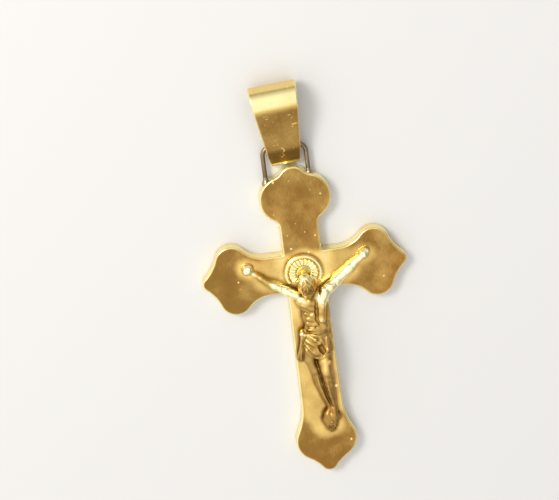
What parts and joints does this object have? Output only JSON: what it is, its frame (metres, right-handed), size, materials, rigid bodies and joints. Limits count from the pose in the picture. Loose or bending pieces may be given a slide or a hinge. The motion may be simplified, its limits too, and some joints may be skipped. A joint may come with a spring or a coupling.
{
  "type": "crucifix pendant",
  "caption": "Flat gold cross with lobed pointed ends, a relief figure with a halo on its front, a soldered wire loop and a folded strip bail that swings on the loop.",
  "frame": {"origin": "on the plane of the cross's flat back, below the middle of the whole pendant with its bail", "axes": "+X towards the viewer's right arm of the cross, +Y up the cross towards the bail, +Z out of the front; the pendant lies on its back"},
  "size_m": [0.0206, 0.042, 0.0037],
  "materials": {
    "cross_gold": "satin yellow gold with polished rims",
    "halo_gold": "polished yellow gold",
    "corpus_gold": "polished cast yellow gold with darker hollows",
    "bail_gold": "brushed yellow gold sheet with fine scratches"
  },
  "bodies": {
    "crucifix": {"cross": "cross_gold", "halo": "halo_gold", "corpus": "corpus_gold"},
    "bail": {"bail": "bail_gold"}
  },
  "joints": [
    {"name": "bail_swing", "type": "hinge", "parent": "crucifix", "child": "bail", "pos_m": [-0.00054, 0.01436, 0.00073], "axis": [1, 0, 0], "range_deg": [0, 110]}
  ]
}
